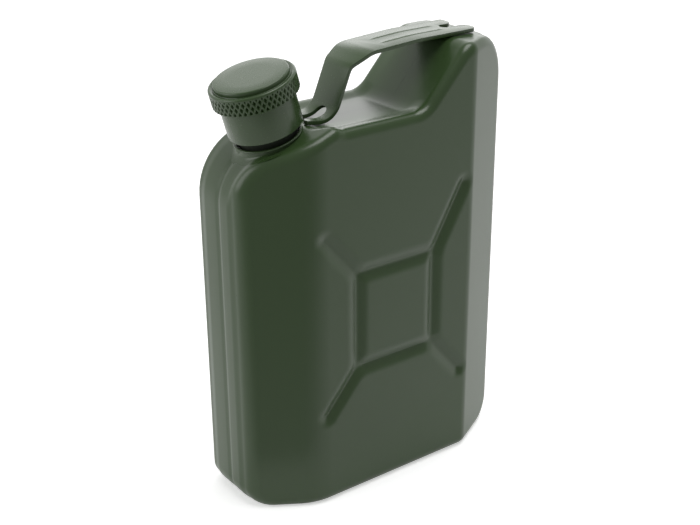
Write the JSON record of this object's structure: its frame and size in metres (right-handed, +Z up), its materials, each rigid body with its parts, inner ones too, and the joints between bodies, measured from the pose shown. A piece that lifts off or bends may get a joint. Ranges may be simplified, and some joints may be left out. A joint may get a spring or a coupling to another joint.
{
  "type": "jerry can hip flask",
  "caption": "Pocket hip flask shaped like a fuel can, with an embossed cross on its faces, a knurled screw cap on a tilted neck and a forked strap handle over a finger recess.",
  "frame": {"origin": "bottom centre of the bounding box, on the plane that the flask stands on", "axes": "+Z up, +X across the width away from the cap, +Y from the bent front face to the flat back face"},
  "size_m": [0.0834, 0.0282, 0.1151],
  "materials": {
    "front_powder_coat": "satin",
    "back_powder_coat": "satin",
    "collar_powder_coat": "satin",
    "neck_stainless_steel": "turned",
    "cap_powder_coat": "satin",
    "liner_plastic": "matt",
    "gasket_silicone": "matt",
    "strap_powder_coat": "satin"
  },
  "bodies": {
    "can": {"front_shell": "front_powder_coat", "back_shell": "back_powder_coat", "neck_collar": "collar_powder_coat", "threaded_neck": "neck_stainless_steel", "handle_strap": "strap_powder_coat"},
    "cap_seal": {"cap_gasket": "gasket_silicone"},
    "cap": {"cap_shell": "cap_powder_coat", "cap_liner": "liner_plastic"}
  },
  "joints": [
    {"name": "cap_rise", "type": "slide", "parent": "can", "child": "cap_seal", "axis": [-0.2677, 0, 0.9635], "range_m": [0, 0.0056]},
    {"name": "cap_turn", "type": "hinge", "parent": "cap_seal", "child": "cap", "pos_m": [-0.02809, 0, 0.09715], "axis": [-0.2677, 0, 0.9635], "range_deg": [0, 806.4]}
  ],
  "couplings": [
    {"joint": "cap_turn", "follows": "cap_rise", "rad_per_m": 2513.3}
  ]
}
